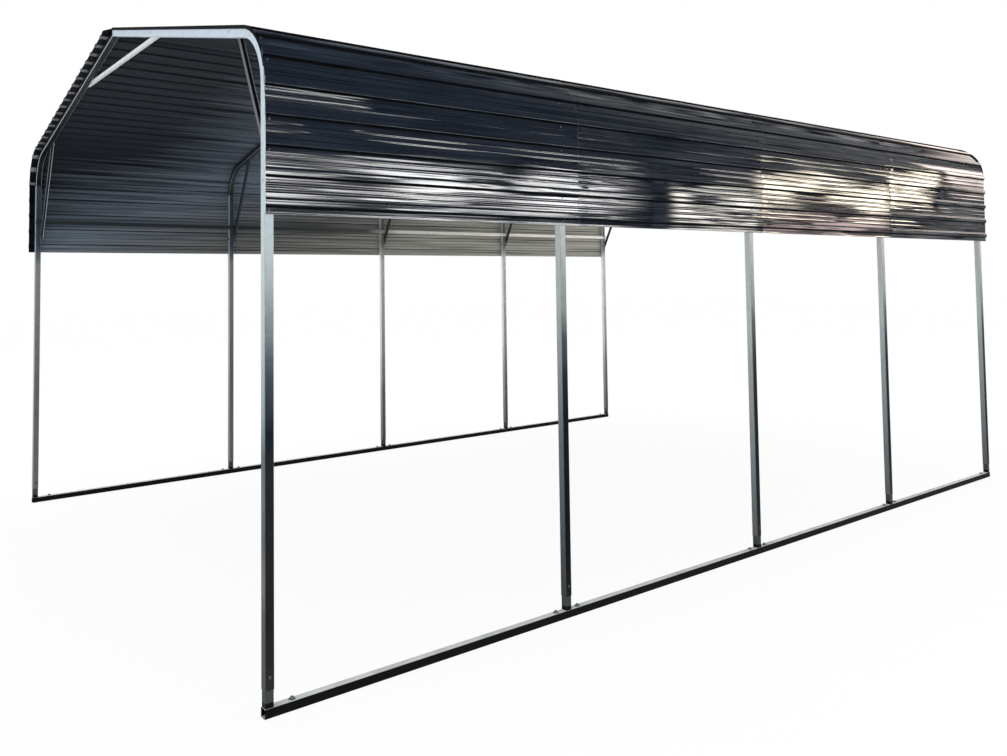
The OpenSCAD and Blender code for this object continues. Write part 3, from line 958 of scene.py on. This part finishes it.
# Gives the eye: small grey glints of uneven brightness
plated, tree, at = finish_of("zinc_plated_screw")
grain = {"Vector": at.outputs["Object"], "Scale": per_metre(CRYSTAL), "Detail": 2.0}
grain = add(tree, "TexNoise", grain)
tone = add(tree, "ValToRGB", {"Fac": grain}, stops=[(0.3, "#6d7275"), (0.7, "#9a9ea0")])
bsdf = add(tree, "BsdfPrincipled", {"Base Color": tone, "Metallic": 0.6, "Roughness": 0.4})
add(tree, "OutputMaterial", {"Surface": bsdf})
print("fasteners:", plated.name)

# %% [markdown]
# All fasteners have the same small head, a washer with a hexagon on it, made of five rings round
# an axis. Instances of one head would do too, but all heads of a kind, worked out as one array,
# make one tidy mesh.

# %% Heads round their axes
AROUND = 12
ANGLES = 2 * np.pi * np.arange(AROUND) / AROUND
HEXAGON = np.cos(np.pi / 6) / np.cos((ANGLES + np.pi / 6) % (np.pi / 3) - np.pi / 6)
# Rings of a head: radius and height, as shares of the head's radius, and whether it is a hexagon
HEAD = [(1.6, 0.0, 0), (1.6, 0.25, 0), (1.0, 0.35, 1), (1.0, 1.0, 1), (0.85, 1.15, 1)]


def heads(name, places, axes, radius, finish):
    """Washers and hexagon heads: each ring's radius times cosine and sine round an axis."""
    places, axes = np.broadcast_arrays(np.asarray(places, float), np.asarray(axes, float))
    spare = np.where(np.abs(axes[:, 1:2]) > 0.9, [[1.0, 0, 0]], [[0, 1.0, 0]])
    one = np.cross(axes, spare)[:, None, None]
    two = np.cross(axes, np.cross(axes, spare))[:, None, None]
    across = np.array([r * (HEXAGON if hexed else np.ones(AROUND)) for r, h, hexed in HEAD]) * radius
    tall = np.array([np.full(AROUND, h) for r, h, hexed in HEAD]) * radius
    ring = np.cos(ANGLES)[:, None] * one + np.sin(ANGLES)[:, None] * two
    points = places[:, None, None] + across[..., None] * ring + tall[..., None] * axes[:, None, None]
    rows = len(HEAD)
    i, j = np.meshgrid(np.arange(rows - 1), np.arange(AROUND), indexing="ij")
    a = i * AROUND + j
    b = i * AROUND + (j + 1) % AROUND
    quads = np.stack([a, b, b + AROUND, a + AROUND], axis=-1).reshape(-1, 4)
    base = np.arange(len(places))[:, None, None] * rows * AROUND
    caps = (np.arange(AROUND) + (rows - 1) * AROUND + base[:, 0]).tolist()
    backs = (np.arange(AROUND)[::-1] + base[:, 0]).tolist()
    mesh = bpy.data.meshes.new(name)
    faces = (quads + base).reshape(-1, 4).tolist() + caps + backs
    mesh.from_pydata((points * MM).reshape(-1, 3).tolist(), [], faces)
    made = bpy.data.objects.new(name, mesh)
    scene.collection.objects.link(made)
    mesh.materials.append(finish)
    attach(made, "root")
    print(name, len(places))


print("rings of a head:", len(HEAD))

# %% [markdown]
# Self-drilling screws with a washer hold the sheets on every frame, just under each rib. They
# could be placed by eye, but some would hang in the air, so their places come from the same line
# and folds as the sheets.

# %% Screws of the sheets
SCREW_BELOW, FIRST_SCREW, SCREW_R = 31.0, 13.0, 2.4


def on_sheet(run, y, side):
    """Places and outward axes on the outer face of the sheet, for runs and lengths in pairs."""
    foot, out = foot_line(run)
    spot = foot + out * (fold_height(run) + SHEET_T)[:, None]
    axes = np.stack([side * out[:, 0], 0 * y, out[:, 1]], axis=1)
    return np.stack([side * spot[:, 0], y, spot[:, 1]], axis=1), axes


screw_run = np.maximum(RIB_FIRST + RIB_PITCH * np.arange(RIBS) - SCREW_BELOW, FIRST_SCREW)
for side, word in ((-1, "left"), (1, "right")):
    run, y = (g.ravel() for g in np.meshgrid(screw_run, FRAME_Y))
    heads(f"sheet_screws_{word}", *on_sheet(run, y, side), SCREW_R, plated)

# %% [markdown]
# The brace bolts pass through the tube of the frame and the brace behind it, at the leg, at the
# eave and at the ridge tie. Screws at the foot hold each leg on its stub, and an anchor bolt goes
# through the rail on both sides of each inner leg and beside each outer one. The heads could be
# solids of the frame too, but they only matter to the eye, so they are added here.

# %% Bolts of the frame
KNEE_LOW, KNEE_RUN, TIE_HALF = 2030.0, 345.0, 730.0
BOLT_R, LEG_SCREW_R, ANCHOR_R = 5.5, 4.5, 8.5
JOINT_Z, ANCHOR_STEP, ANCHOR_END = 150.0, 70.0, 98.0
both = np.array([-1.0, 1.0])
rafter_x = np.array([LEG_X - KNEE_RUN, TIE_HALF])
rafter_z = RIDGE_Z - rafter_x * np.tan(SLOPE) - TUBE / 2 / np.cos(SLOPE)
bolt_x = np.append(rafter_x, LEG_X)
bolt_z = np.append(rafter_z, KNEE_LOW)
sides, spots, ys = (g.ravel() for g in np.meshgrid(both, np.arange(3), FRAME_Y, indexing="ij"))
bolt = np.stack([sides * bolt_x[spots], ys, bolt_z[spots]], axis=1)
heads("brace_bolt_heads", bolt + [0, TUBE / 2 + BRACE_D, 0], [[0, 1.0, 0]], BOLT_R, plated)
nut = bolt - [0, TUBE / 2, 0]
# Front right nuts take the pale tube finish with painted light, the rest the dark painted shade
pale = (sides > 0) & (ys < FRAME_Y[1])
heads("front_bolt_nuts", nut[pale], [[0, -1.0, 0]], BOLT_R, tubes["front_bow"])
heads("brace_bolt_nuts", nut[~pale], [[0, -1.0, 0]], BOLT_R, tubes["inner_bow"])

sides, turns, ys = (g.ravel() for g in np.meshgrid(both, both, FRAME_Y, indexing="ij"))
leg_screw = np.stack([sides * LEG_X + turns * TUBE / 2, ys, np.full_like(ys, JOINT_Z)], axis=1)
leg_axes = np.stack([turns, 0 * turns, 0 * turns], axis=1)
# The screws at the foot take the rail's finish, with its painted light and shade by facing
heads("leg_joint_screws", leg_screw, leg_axes, LEG_SCREW_R, rail)

middle = FRAME_Y[1:-1]
ends = FRAME_Y[[0, -1]] + np.array([ANCHOR_END, -ANCHOR_END])
hole_y = np.concatenate([ends, middle - ANCHOR_STEP, middle + ANCHOR_STEP])
sides, ys = (g.ravel() for g in np.meshgrid(both, hole_y, indexing="ij"))
anchor = np.stack([sides * LEG_X, ys, np.full_like(ys, TUBE)], axis=1)
heads("anchor_bolts", anchor, [[0, 0, 1.0]], ANCHOR_R, plated)

# %% [markdown]
# ## Close
# The size of the dressed carport is printed.

# %% Sizes and close
low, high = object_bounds()
print("dressed size:", list(high - low))
